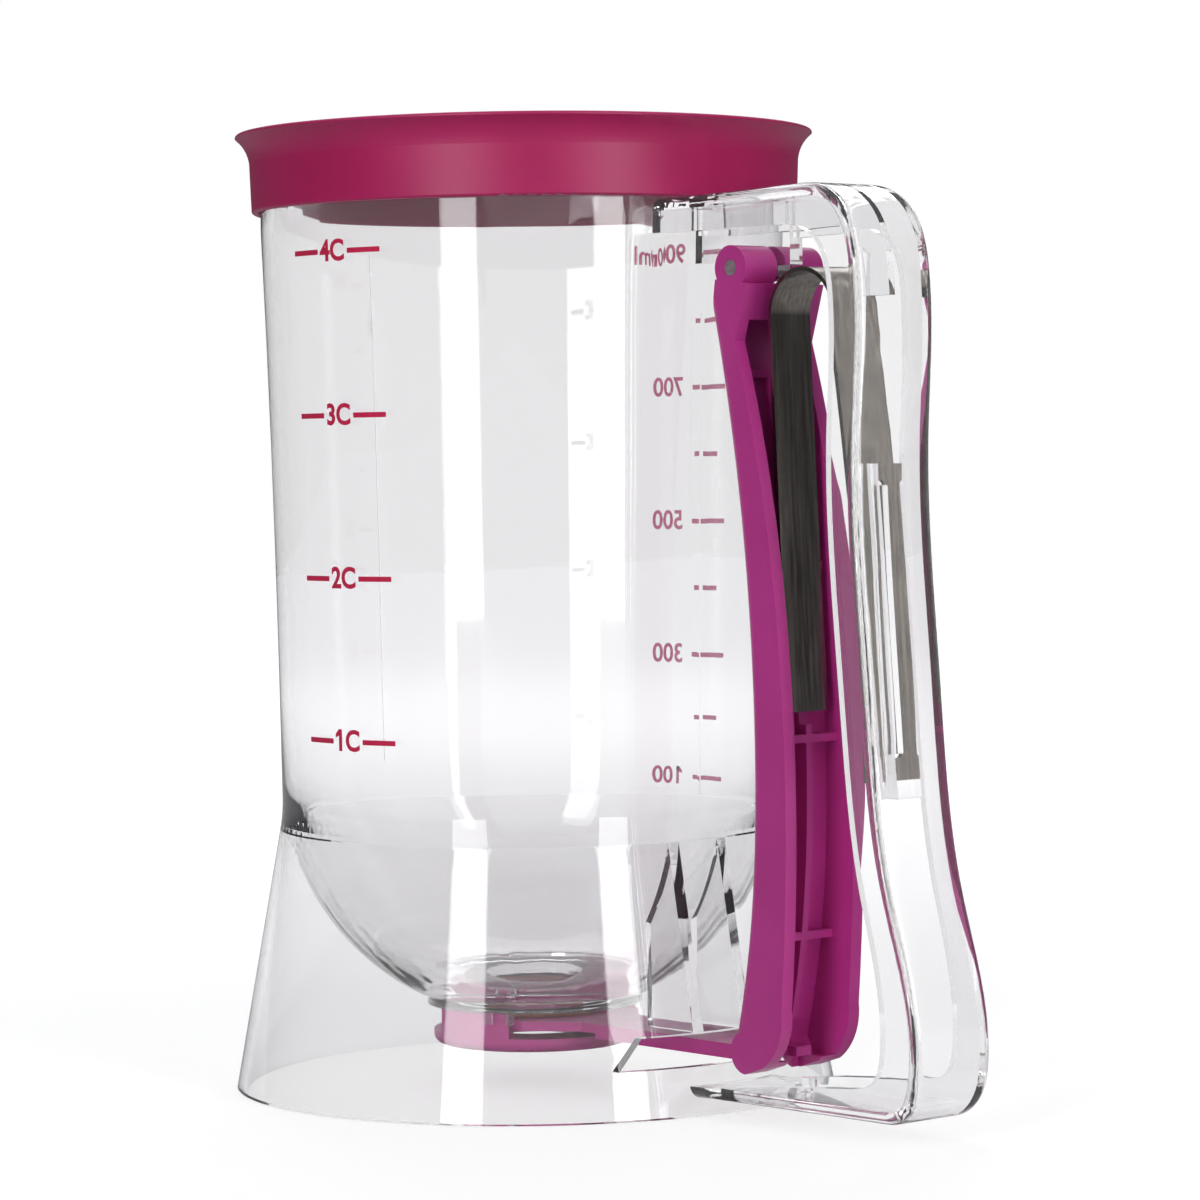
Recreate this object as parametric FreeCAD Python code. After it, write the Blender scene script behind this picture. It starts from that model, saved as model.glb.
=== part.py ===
import FreeCAD, Part
import math
import os

# A hand-held batter dispenser, in millimetres. Z is up, the origin is the centre of the
# foot ring, and the handle points along +X. The part is symmetric about the XZ plane.

Vector = FreeCAD.Vector

# Moulded cup: a slightly waisted measuring wall over a flared skirt
foot_radius = 59.8
waist_radius = 50.0
waist_height = 58.0
waist_band = 7.0
waist_easing = 0.15
waist_easing_height = 3.0
belly_radius = 51.0
belly_height = 120.0
shoulder_radius = 51.7
shoulder_height = 145.0
rim_radius = 52.6
rim_height = 183.2
rim_straight = 13.2
rim_start_height = rim_height - rim_straight
wall = 2.4
skirt_wall = 2.0
root_height = waist_height - waist_band
root_radius = 50.6
root_thickening = 10.0

# Bowl shaped funnel, its outlet and the collar that carries the valve
funnel_wall = 2.1
funnel_mid_radius = 40.5
funnel_mid_height = 32.9
collar_radius = 21.5
collar_bottom = 15.9
collar_top = 19.2
collar_edge_drop = 1.4
collar_flare = 1.6
bowl_start_drop = 1.2
bowl_inset = 1.9
throat_run = 1.5
throat_rise = 0.8
outlet_radius = 9.8
outlet_top = 19.6
lug_depth = 2.2
lug_radius = 21.3
lug_inner_radius = 20.5
lug_width = 1.9
lug_spread_deg = 12.0
lug_pair_deg = (-60.0, 60.0, 180.0)

# Window in the skirt and the two guide walls that stand over the slide
window_bottom = 9.2
window_top = 15.2
window_half_width_top = 19.0
window_half_width_bottom = 24.0
guide_wall_offset = 6.0
guide_wall_thickness = 2.4
guide_wall_inner_x = 42.0

# Handle: a U-shaped channel bent round the trigger
handle_half_width = 10.0
handle_root_half_width = 12.8
handle_flare_end_x = 66.0
handle_flare_inset = 6.0
handle_flare_share = 0.3
handle_wall = 2.4
handle_edge_round = 2.3
channel_half_width = 7.6
top_arm_drop = 8.8
top_arm_fall = 2.1
top_arm_depth = 7.5
top_arm_top = rim_height - top_arm_drop
top_arm_root_top = top_arm_top - top_arm_fall
top_arm_bottom = top_arm_top - top_arm_depth
grip_outer_top_x = 104.4
grip_outer_waist_x = 103.7
grip_outer_waist_z = 128.0
grip_outer_mid_x = 106.2
grip_outer_mid_z = 82.0
grip_outer_low_x = 110.9
grip_outer_low_z = 46.0
grip_foot_x = 117.3
grip_foot_z = 14.5
flange_depth = 7.6
bottom_arm_bottom = 3.0
bottom_arm_top = 9.6
bottom_arm_root_top = 5.8
corner_radius = 15.0
corner_lead = 2.0
heel_run = 8.5
heel_rise = 0.8
heel_round_x = 2.4
heel_round_z = 4.0
inner_corner_inset = 4.0
inner_heel_inset = 1.0
inner_heel_lean = 0.4
inner_heel_rise = 4.0
inner_heel_round_x = 2.6
inner_heel_round_z = 1.8
inner_heel_slope = 0.08
arm_dip_drop = 1.8
arm_dip_reach = 8.0

# Web, ribs and seat inside the handle
web_half_thickness = 1.6
web_depth = 13.1
web_bottom = top_arm_top - web_depth
web_end_x = 78.3
web_end_depth = 14.4
web_end_bottom = top_arm_top - web_end_depth
lobe_radius = 4.0
slim_rib_depth = 9.4
slim_rib_bottom = top_arm_top - slim_rib_depth
slim_rib_chamfer = 4.0
gusset_depth = 20.9
gusset_bottom = top_arm_top - gusset_depth
sink = 0.5
cut_margin = 1.0
post_x = 79.5
post_radius = 1.5
post_top = 8.6

# Hinge pin
pin_x = 71.0
pin_drop = 23.6
pin_z = rim_height - pin_drop
pin_radius = 1.5
pin_running_clearance = 0.05
pin_seat_clearance = 0.02

# Trigger: a channel with its open side towards the grip
trigger_half_width = 10.0
trigger_wall = 2.4
trigger_side_wall = 2.7
trigger_edge_round = 2.0
knuckle_radius = 4.2
knuckle_gap = 0.3
trigger_bottom = 9.4
trigger_base_top_x = 65.6
trigger_base_top_drop = 9.6
trigger_base_upper_x = 71.2
trigger_base_upper_z = 120.0
trigger_base_middle_x = 75.0
trigger_base_middle_z = 70.0
trigger_base_lower_x = 74.2
trigger_base_lower_z = 45.0
trigger_base_foot_x = 69.0
trigger_base_foot_z = 15.0
trigger_rim_foot_x = 82.6
trigger_rim_foot_z = 22.0
trigger_rim_lower_x = 84.3
trigger_rim_lower_z = 62.0
trigger_rim_upper_x = 80.6
trigger_rim_upper_z = 108.0
trigger_rim_top_x = 71.9
trigger_rim_top_drop = 13.6
trigger_toe_run = 3.4
trigger_toe_round_x = 0.7
trigger_toe_round_z = 1.4
trigger_heel_run = 5.2
trigger_heel_rise = 1.6
trigger_heel_round_x = 1.2
trigger_heel_round_z = 6.0
trigger_shoulder_drop = 3.0
trigger_crown_drop = 2.0
trigger_knuckle_slot_rise = 2.0
heel_slope_run = 1.6
heel_floor_rise = 1.2
trigger_top_rib_drop = 19.6
trigger_rib_heights = (35.0, 72.0, 104.0, pin_z - trigger_top_rib_drop)
trigger_rib_thickness = 1.5
trigger_rib_depth = 1.2
trigger_low_rib_depth = 3.0
tongue_slot_half_width = 2.6
tongue_slot_top = 16.8
heel_notch_half_width = 4.3
heel_notch_depth = 3.4

# Leaf spring bent into a long U
spring_thickness = 0.8
spring_half_width = 5.0
spring_front_end_x = 79.6
spring_front_end_z = 77.0
spring_front_mid_x = 77.5
spring_front_mid_z = 113.0
spring_bend_front_x = 75.8
spring_bend_rear_x = 93.4
spring_bend_drop = 9.0
spring_bend_z = pin_z - spring_bend_drop
spring_rear_mid_x = 97.7
spring_rear_mid_z = 118.0
spring_rear_end_x = 101.4
spring_rear_end_z = 65.0
spring_slot_half_width = 1.15
spring_slot_bottom = 69.0
spring_slot_top = 120.0
spring_seat_half_width = 3.0
spring_seat_clearance = 0.1
spring_bed_margin = 3.0
spring_bed_fall = 0.15
spring_bed_rise = 0.1
slot_rib_half_width = 0.7
slot_rib_height = 2.4

# Slide gate, valve cap and seal under the outlet
cap_radius = 20.3
cap_bottom = 8.0
cap_floor_top = 10.7
cap_hole_radius = 11.5
cap_edge_round = 1.8
cap_wall_start_deg = 55.0
cap_wall_end_deg = 106.0
cap_wall_inner_y = 15.6
cap_ledge_inner_y = 13.6
gate_bottom = 12.5
gate_top = 14.3
gate_half_width = 15.2
gate_rear_x = -12.4
gate_shoulder_x = 19.0
gate_corner = 3.0
gate_taper_before = 5.0
gate_taper_after = 4.0
arm_rib_start = 8.0
slide_clearance = 0.2
seal_radius = 14.6
seal_lip_radius = 10.2
arm_half_width = 7.6
arm_rib_thickness = 1.5
arm_rib_drop = 1.0
arm_end_x = 66.2
tongue_half_width = 1.9
tongue_end_x = 78.0
barb_half_width = 3.6
barb_gap = 0.4
barb_length = 2.4

# Lift-off lid
lid_skirt_radius = 54.35
lid_skirt_depth = 9.4
lid_skirt_bottom = rim_height - lid_skirt_depth
lid_skirt_round = 0.5
lid_fit_clearance = 0.35
lid_lip_radius = 57.5
lid_lip_rise = 6.2
lid_lip_height = rim_height + lid_lip_rise
lid_lip_round = 0.6
lid_neck_radius = 54.7
lid_neck_rise = 0.5
lid_neck_height = rim_height + lid_neck_rise
lid_neck_bend_out = 0.8
lid_neck_bend_rise = 2.7
lid_lip_thickness = 1.4
lid_lip_slope = 0.2
lid_inner_bend_out = 0.6
lid_inner_foot_in = 0.4
lid_panel_thickness = 1.8



def line(start, end):
    return Part.LineSegment(Vector(*start), Vector(*end)).toShape()


def arc(start, middle, end):
    return Part.Arc(Vector(*start), Vector(*middle), Vector(*end)).toShape()


def in_xz(point):
    return (point[0], 0.0, point[1])


def spline_edge(points, start_direction=None, end_direction=None):
    """Smooth edge through XZ points, with set directions at its ends where they are given."""
    curve = Part.BSplineCurve()
    places = [Vector(x, 0, z) for x, z in points]
    if start_direction is None:
        curve.interpolate(places)
    else:
        curve.interpolate(Points=places, InitialTangent=Vector(start_direction[0], 0, start_direction[1]),
                          FinalTangent=Vector(end_direction[0], 0, end_direction[1]), Scale=False)
    return curve.toShape()


def outline(start, steps):
    """Closed wire in the XZ plane. A step of one point is a line, of two (middle, end) an arc,
    and of more a smooth curve through them."""
    edges = []
    here = start
    for step in steps:
        if len(step) == 1:
            edges.append(line(in_xz(here), in_xz(step[0])))
        elif len(step) == 2:
            edges.append(arc(in_xz(here), in_xz(step[0]), in_xz(step[1])))
        else:
            edges.append(spline_edge((here,) + tuple(step)))
        here = step[-1]
    if math.dist(here, start) > 1e-6:
        edges.append(line(in_xz(here), in_xz(start)))
    return Part.Wire(edges)


def turned(start, steps):
    face = Part.Face(outline(start, steps))
    return face.revolve(Vector(0, 0, 0), Vector(0, 0, 1), 360)


def slab(wire, half_width):
    """Solid from an XZ outline, half_width to each side of the XZ plane."""
    face = Part.Face(wire)
    face.translate(Vector(0, -half_width, 0))
    return face.extrude(Vector(0, 2 * half_width, 0))


def block(x_low, x_high, y_low, y_high, z_low, z_high):
    return Part.makeBox(x_high - x_low, y_high - y_low, z_high - z_low, Vector(x_low, y_low, z_low))


def rod_along_y(x, z, radius, y_low, y_high):
    return Part.makeCylinder(radius, y_high - y_low, Vector(x, y_low, z), Vector(0, 1, 0))


# Shared profiles of the cup

def belly_bend(inset):
    """The wall's long curve above the waist, read upwards, set in from the outer face."""
    return (
        (belly_radius - inset, belly_height),
        (shoulder_radius - inset, shoulder_height),
        (rim_radius - inset, rim_start_height),
    )


def waist_bend():
    """The short round between the root and the waist, read upwards."""
    return ((waist_radius + waist_easing, root_height + waist_easing_height), (waist_radius, waist_height))


def collar_and_bowl():
    """Outer line of the collar and the bowl, read upwards."""
    return [
        ((collar_radius, collar_bottom),),
        ((collar_radius, collar_top - collar_edge_drop),),
        ((collar_radius + collar_flare, collar_top - bowl_start_drop),),
        ((funnel_mid_radius, funnel_mid_height), (root_radius - skirt_wall, root_height)),
    ]


def cup_envelope():
    """The cup's outer form as a filled solid, used to fit what is moulded onto it."""
    return turned((0, 0), [
        ((foot_radius, 0),),
        ((root_radius, root_height),),
        waist_bend(),
        belly_bend(0),
        ((rim_radius, rim_height),),
        ((0, rim_height),),
    ])


def funnel_outer():
    """The bowl's outer form as a filled solid down to the collar."""
    return turned((0, collar_bottom), collar_and_bowl() + [((0, root_height),)])


def make_measuring_wall():
    inner_root = root_radius - skirt_wall - funnel_wall
    top = rim_height
    return turned((root_radius, root_height), [
        waist_bend(),
        belly_bend(0),
        ((rim_radius, top - wall / 2),),
        ((rim_radius - wall / 2, top), (rim_radius - wall, top - wall / 2)),
        ((rim_radius - wall, rim_start_height),),
        belly_bend(wall)[1::-1] + ((waist_radius - wall, root_height + root_thickening),),
        ((inner_root, root_height),),
    ])


def make_funnel():
    inner_root = root_radius - skirt_wall - funnel_wall
    throat = (collar_radius - throat_run, outlet_top + throat_rise)
    bowl = turned((outlet_radius, collar_bottom), collar_and_bowl() + [
        ((inner_root, root_height),),
        ((funnel_mid_radius - bowl_inset, funnel_mid_height + bowl_inset), throat),
        ((outlet_radius, outlet_top),),
    ])
    lugs = []
    for pair in lug_pair_deg:
        for side in (-0.5, 0.5):
            lug = block(lug_inner_radius, lug_radius, -lug_width / 2, lug_width / 2,
                        collar_bottom - lug_depth, collar_bottom)
            lug.rotate(Vector(0, 0, 0), Vector(0, 0, 1), pair + side * lug_spread_deg)
            lugs.append(lug)
    return bowl.fuse(lugs)


def make_skirt():
    ring = turned((foot_radius, 0), [
        ((root_radius, root_height),),
        ((root_radius - skirt_wall, root_height),),
        ((foot_radius - skirt_wall, 0),),
    ])
    guides = []
    for side in (-1, 1):
        centre = side * guide_wall_offset
        guides.append(block(guide_wall_inner_x, foot_radius, centre - guide_wall_thickness / 2,
                            centre + guide_wall_thickness / 2, window_top, root_height))
    skirt = ring.fuse([guide.common(cup_envelope()).cut(funnel_outer()) for guide in guides])
    corners = [(-window_half_width_bottom, window_bottom), (window_half_width_bottom, window_bottom),
               (window_half_width_top, window_top), (-window_half_width_top, window_top)]
    loop = [Vector(guide_wall_inner_x, y, z) for y, z in corners]
    window = Part.Face(Part.makePolygon(loop + loop[:1])).extrude(Vector(foot_radius, 0, 0))
    return skirt.cut(window)


# Handle

def set_in(points, distance):
    """Points of a clockwise path, moved towards its inner side."""
    moved = []
    for index, (x, z) in enumerate(points):
        before = points[max(index - 1, 0)]
        after = points[min(index + 1, len(points) - 1)]
        run_x = after[0] - before[0]
        run_z = after[1] - before[1]
        length = math.hypot(run_x, run_z)
        moved.append((x + distance * run_z / length, z - distance * run_x / length))
    return moved


def handle_outer_outline(inset):
    """Outer side of the bent channel, set in by inset, closed through the cup."""
    top = (grip_outer_top_x - corner_radius, top_arm_top)
    low = (grip_foot_x - heel_run, bottom_arm_bottom + heel_rise)
    knee = corner_radius * (1 - math.sqrt(0.5))
    bend = [
        top,
        (grip_outer_top_x - knee, top_arm_top - knee),
        (grip_outer_top_x, top_arm_top - corner_radius - corner_lead),
        (grip_outer_waist_x, grip_outer_waist_z),
        (grip_outer_mid_x, grip_outer_mid_z),
        (grip_outer_low_x, grip_outer_low_z),
        (grip_foot_x, grip_foot_z),
        (grip_foot_x - heel_round_x, bottom_arm_bottom + heel_round_z),
        low,
    ]
    slope_top = (top_arm_top - top_arm_root_top) / top[0]
    slope_low = (low[1] - bottom_arm_bottom) / low[0]
    path = set_in([(0, top_arm_root_top)] + bend + [(0, bottom_arm_bottom)], inset)
    return Part.Wire([
        line(in_xz(path[0]), in_xz(path[1])),
        spline_edge(path[1:-1], (1, slope_top), (-1, -slope_low)),
        line(in_xz(path[-2]), in_xz(path[-1])),
        line(in_xz(path[-1]), in_xz(path[0])),
    ])


def handle_inner_outline():
    """Free edge of the channel's flanges, closed through the cup."""
    right = grip_outer_top_x - flange_depth
    knee = corner_radius - inner_corner_inset
    slant = knee * (1 - math.sqrt(0.5))
    foot_x = grip_foot_x - flange_depth - inner_heel_inset
    top = (right - knee, top_arm_bottom)
    low = (foot_x - heel_run, bottom_arm_top)
    bend = [
        top,
        (right - slant, top_arm_bottom - slant),
        (right, top_arm_bottom - knee - corner_lead),
        (grip_outer_waist_x - flange_depth, grip_outer_waist_z),
        (grip_outer_mid_x - flange_depth, grip_outer_mid_z),
        (grip_outer_low_x - flange_depth, grip_outer_low_z),
        (foot_x - inner_heel_lean, grip_foot_z + inner_heel_rise),
        (foot_x - inner_heel_round_x, bottom_arm_top + inner_heel_round_z),
        low,
    ]
    dip = (pin_x + arm_dip_reach, bottom_arm_top - arm_dip_drop)
    root = (pin_x - arm_dip_reach, bottom_arm_root_top)
    return Part.Wire([
        line((0, 0, top_arm_bottom), in_xz(top)),
        spline_edge(bend, (1, 0), (-1, -inner_heel_slope)),
        line(in_xz(low), in_xz(dip)),
        line(in_xz(dip), in_xz(root)),
        line(in_xz(root), (0, 0, bottom_arm_root_top)),
        line((0, 0, bottom_arm_root_top), (0, 0, top_arm_bottom)),
    ])


def handle_plan(half_width, root_half_width):
    """Plan of the handle: parallel sides that flare where they meet the cup."""
    flare_start = rim_radius - handle_flare_inset
    far_end = grip_foot_x + cut_margin
    middle_x = (flare_start + handle_flare_end_x) / 2
    middle_y = half_width + (root_half_width - half_width) * handle_flare_share
    edges = []
    for side in (1, -1):
        edges.append(arc((flare_start, side * root_half_width, 0), (middle_x, side * middle_y, 0),
                         (handle_flare_end_x, side * half_width, 0)))
        edges.append(line((handle_flare_end_x, side * half_width, 0), (far_end, side * half_width, 0)))
    edges.append(line((far_end, half_width, 0), (far_end, -half_width, 0)))
    edges.append(line((flare_start, root_half_width, 0), (flare_start, -root_half_width, 0)))
    face = Part.Face(Part.Wire(Part.sortEdges(edges)[0]))
    return face.extrude(Vector(0, 0, lid_lip_height))


def outer_round_edges(shape):
    """The two long rims between the channel's outer face and its sides."""
    picked = []
    for edge in shape.Edges:
        middle = edge.valueAt((edge.FirstParameter + edge.LastParameter) / 2)
        if abs(middle.y) < handle_half_width - 0.1:
            continue
        if middle.x < rim_radius + handle_wall:
            continue
        outside_top = middle.z > top_arm_bottom + flange_depth / 2
        outside_low = middle.z < bottom_arm_bottom + handle_wall
        outside_grip = middle.x > grip_outer_top_x - flange_depth / 2
        if outside_top or outside_low or outside_grip:
            picked.append(edge)
    return picked


def make_handle():
    bar = slab(handle_outer_outline(0), handle_root_half_width)
    bar = bar.cut(slab(handle_inner_outline(), handle_root_half_width + cut_margin))
    bar = bar.common(handle_plan(handle_half_width, handle_root_half_width))
    bar = bar.makeFillet(handle_edge_round, outer_round_edges(bar))
    side_wall = handle_half_width - channel_half_width
    hollow = slab(handle_outer_outline(handle_wall), handle_root_half_width)
    hollow = hollow.common(handle_plan(channel_half_width, handle_root_half_width - side_wall))
    shell = bar.cut(hollow)
    shell = shell.fuse(handle_ribs())
    return shell.cut(cup_envelope()).removeSplitter()


def handle_ribs():
    """Centre web over the pin, slim rib, corner gusset, spring seat and the stop post."""
    ceiling = top_arm_top - handle_wall - sink
    web = slab(outline((waist_radius, ceiling), [
        ((waist_radius, web_bottom),),
        ((pin_x - lobe_radius, web_bottom),),
        ((pin_x - lobe_radius, pin_z),),
        ((pin_x, pin_z - lobe_radius), (pin_x + lobe_radius, pin_z)),
        ((pin_x + lobe_radius, web_end_bottom),),
        ((web_end_x, web_end_bottom),),
        ((web_end_x, ceiling),),
    ]), web_half_thickness)
    web = web.cut(rod_along_y(pin_x, pin_z, pin_radius + pin_seat_clearance,
                              -web_half_thickness, web_half_thickness))
    body = slab(handle_outer_outline(handle_wall / 2), slot_rib_half_width)
    slim = body.common(block(web_end_x - sink, grip_foot_x, -spring_half_width, spring_half_width,
                             gusset_bottom, rim_height))
    under_left = web_end_x - sink - cut_margin
    gusset_x = grip_outer_top_x - flange_depth
    slim = slim.cut(slab(outline((under_left, gusset_bottom - cut_margin), [
        ((under_left, slim_rib_bottom),),
        ((gusset_x - slim_rib_chamfer, slim_rib_bottom),),
        ((gusset_x, slim_rib_bottom - slim_rib_chamfer),),
        ((gusset_x, gusset_bottom - cut_margin),),
    ]), spring_half_width))
    post_foot = bottom_arm_bottom + handle_wall / 2
    post = Part.makeCylinder(post_radius, post_top - post_foot, Vector(post_x, 0, post_foot))
    return [web, slim, post] + spring_seat()


def spring_seat():
    """Raised bed that the spring's rear leg lies on, and the rib that locates its slot."""
    grip = slab(handle_outer_outline(handle_wall / 2), spring_seat_half_width)
    leg_back = spring_thickness + spring_seat_clearance
    front_low = spring_rear_end_z - spring_bed_margin - cut_margin
    front_high = spring_slot_top + spring_bed_margin + cut_margin
    bed_front = outline((0, front_low), [
        ((spring_rear_end_x + leg_back, front_low),),
        ((spring_rear_end_x + leg_back, spring_rear_end_z),),
        ((spring_rear_mid_x + leg_back + spring_bed_fall, spring_rear_mid_z),),
        ((spring_rear_mid_x + leg_back - spring_bed_rise, front_high),),
        ((0, front_high),),
    ])
    span = block(pin_x, grip_foot_x, -spring_seat_half_width, spring_seat_half_width,
                 spring_rear_end_z - spring_bed_margin, spring_slot_top + spring_bed_margin)
    bed = grip.common(span).cut(slab(bed_front, spring_seat_half_width + cut_margin))
    rib_zone = block(pin_x, grip_foot_x, -slot_rib_half_width, slot_rib_half_width,
                     spring_slot_bottom + cut_margin, spring_slot_top - cut_margin)
    rib_front = bed_front.copy()
    rib_front.translate(Vector(-slot_rib_height, 0, 0))
    rib = grip.common(rib_zone).cut(slab(rib_front, spring_seat_half_width + cut_margin))
    return [bed, rib]


def make_hinge_pin():
    return rod_along_y(pin_x, pin_z, pin_radius, -trigger_half_width, trigger_half_width)


# Trigger

def trigger_base_line(inset):
    """Closed side of the trigger from top to bottom, set in towards its open side."""
    return [
        (trigger_base_top_x + inset, pin_z - trigger_base_top_drop),
        (trigger_base_upper_x + inset, trigger_base_upper_z),
        (trigger_base_middle_x + inset, trigger_base_middle_z),
        (trigger_base_lower_x + inset, trigger_base_lower_z),
        (trigger_base_foot_x + inset, trigger_base_foot_z),
    ]


def trigger_rim_line():
    """Free edge of the trigger's side walls from bottom to top."""
    return [
        (trigger_rim_foot_x, trigger_rim_foot_z),
        (trigger_rim_lower_x, trigger_rim_lower_z),
        (trigger_rim_upper_x, trigger_rim_upper_z),
        (trigger_rim_top_x, pin_z - trigger_rim_top_drop),
    ]


def trigger_side_outline():
    base = trigger_base_line(0)
    rim = trigger_rim_line()
    low = (trigger_base_foot_x + trigger_toe_run, trigger_bottom)
    toe = (trigger_base_foot_x + trigger_toe_round_x, trigger_bottom + trigger_toe_round_z)
    heel = (trigger_rim_foot_x - trigger_heel_run, trigger_bottom + trigger_heel_rise)
    heel_round = (trigger_rim_foot_x - trigger_heel_round_x, trigger_bottom + trigger_heel_round_z)
    shoulder = (pin_x + knuckle_radius, pin_z - trigger_shoulder_drop)
    crown = (pin_x - knuckle_radius, pin_z - trigger_crown_drop)
    edges = [
        spline_edge(base),
        arc(in_xz(base[-1]), in_xz(toe), in_xz(low)),
        line(in_xz(low), in_xz(heel)),
        arc(in_xz(heel), in_xz(heel_round), in_xz(rim[0])),
        spline_edge(rim),
        line(in_xz(rim[-1]), in_xz(shoulder)),
        line(in_xz(shoulder), in_xz(crown)),
        line(in_xz(crown), in_xz(base[0])),
    ]
    return Part.Wire(edges)


def trigger_cavity():
    inner = trigger_half_width - trigger_side_wall
    base = trigger_base_line(trigger_wall)
    floor = trigger_bottom + trigger_wall
    heel = (heel_inner_x(), floor)
    far_low = (grip_foot_x, floor + heel_floor_rise)
    far_high = (grip_foot_x, base[0][1])
    edges = [
        spline_edge(base),
        line(in_xz(base[-1]), in_xz(heel)),
        line(in_xz(heel), in_xz(far_low)),
        line(in_xz(far_low), in_xz(far_high)),
        line(in_xz(far_high), in_xz(base[0])),
    ]
    return slab(Part.Wire(edges), inner)


def heel_inner_x():
    """Foot of the trigger's inner face, where the slide's barb catches."""
    return trigger_base_line(trigger_wall)[-1][0] + heel_slope_run


def base_x_at(z, inset):
    curve = spline_edge(trigger_base_line(inset))
    probe = line(in_xz((0, z)), in_xz((grip_foot_x, z)))
    return curve.distToShape(probe)[1][0][0].x


def trigger_ribs():
    """Cross ribs and a spine inside the channel, shallow where the spring's leg lies on them."""
    inner = trigger_half_width - trigger_side_wall
    ribs = []
    for z in trigger_rib_heights:
        depth = trigger_rib_depth if z > spring_front_end_z else trigger_low_rib_depth
        back = base_x_at(z, trigger_wall)
        ribs.append(block(back - trigger_wall / 2, back + depth, -inner, inner,
                          z - trigger_rib_thickness / 2, z + trigger_rib_thickness / 2))
    split = spring_front_end_z - trigger_wall
    ribs.append(trigger_spine(trigger_rib_depth, split, trigger_rib_heights[-1]))
    ribs.append(trigger_spine(trigger_low_rib_depth, tongue_slot_top + trigger_wall, split))
    return ribs


def trigger_spine(depth, z_low, z_high):
    back = trigger_base_line(trigger_wall / 2)
    front = trigger_base_line(trigger_wall + depth)
    spine = slab(Part.Wire([
        spline_edge(back),
        line(in_xz(back[-1]), in_xz(front[-1])),
        spline_edge(front),
        line(in_xz(front[0]), in_xz(back[0])),
    ]), trigger_rib_thickness / 2)
    return spine.common(block(0, grip_foot_x, -trigger_half_width, trigger_half_width, z_low, z_high))


def make_trigger():
    body = slab(trigger_side_outline(), trigger_half_width)
    rounds = []
    for edge in body.Edges:
        middle = edge.valueAt((edge.FirstParameter + edge.LastParameter) / 2)
        long_edge = edge.Length > (pin_z - trigger_bottom) / 2
        on_side = abs(middle.y) > trigger_half_width - trigger_wall / 2
        if long_edge and on_side and middle.x < trigger_base_middle_x + trigger_wall:
            rounds.append(edge)
    body = body.makeFillet(trigger_edge_round, rounds)
    body = body.cut(trigger_cavity())
    body = body.fuse(trigger_ribs())
    body = body.fuse(rod_along_y(pin_x, pin_z, knuckle_radius, -trigger_half_width, trigger_half_width))
    gap = web_half_thickness + knuckle_gap
    slot_bottom = pin_z - trigger_base_top_drop + trigger_knuckle_slot_rise
    body = body.cut(block(0, grip_foot_x, -gap, gap, slot_bottom, rim_height))
    body = body.cut(rod_along_y(pin_x, pin_z, lobe_radius + knuckle_gap * 2, -gap, gap))
    body = body.cut(rod_along_y(pin_x, pin_z, pin_radius + pin_running_clearance,
                                -trigger_half_width, trigger_half_width))
    heel_x = heel_inner_x()
    slot = block(0, heel_x + cut_margin, -tongue_slot_half_width, tongue_slot_half_width,
                 trigger_bottom - cut_margin, tongue_slot_top)
    notch = block(heel_x - cut_margin, grip_foot_x, -heel_notch_half_width, heel_notch_half_width,
                  trigger_bottom - cut_margin, trigger_bottom + heel_notch_depth)
    return body.cut(slot).cut(notch).removeSplitter()


def make_spring():
    front = (spring_bend_front_x, spring_bend_z)
    rear = (spring_bend_rear_x, spring_bend_z)
    bend_radius = (spring_bend_rear_x - spring_bend_front_x) / 2
    top = (spring_bend_front_x + bend_radius, spring_bend_z + bend_radius)
    path = Part.Wire([
        arc(in_xz((spring_front_end_x, spring_front_end_z)),
            in_xz((spring_front_mid_x, spring_front_mid_z)), in_xz(front)),
        arc(in_xz(front), in_xz(top), in_xz(rear)),
        arc(in_xz(rear), in_xz((spring_rear_mid_x, spring_rear_mid_z)),
            in_xz((spring_rear_end_x, spring_rear_end_z))),
    ])
    strip = path.makeOffset2D(-spring_thickness, 0, True, True, False)
    strip.translate(Vector(0, -spring_half_width, 0))
    leaf = strip.extrude(Vector(0, 2 * spring_half_width, 0))
    slot = block(spring_bend_rear_x, grip_foot_x, -spring_slot_half_width, spring_slot_half_width,
                 spring_slot_bottom + spring_slot_half_width, spring_slot_top - spring_slot_half_width)
    for z in (spring_slot_bottom + spring_slot_half_width, spring_slot_top - spring_slot_half_width):
        slot = slot.fuse(Part.makeCylinder(spring_slot_half_width, grip_foot_x - spring_bend_rear_x,
                                           Vector(spring_bend_rear_x, 0, z), Vector(1, 0, 0)))
    return leaf.cut(slot)


# Valve

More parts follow.
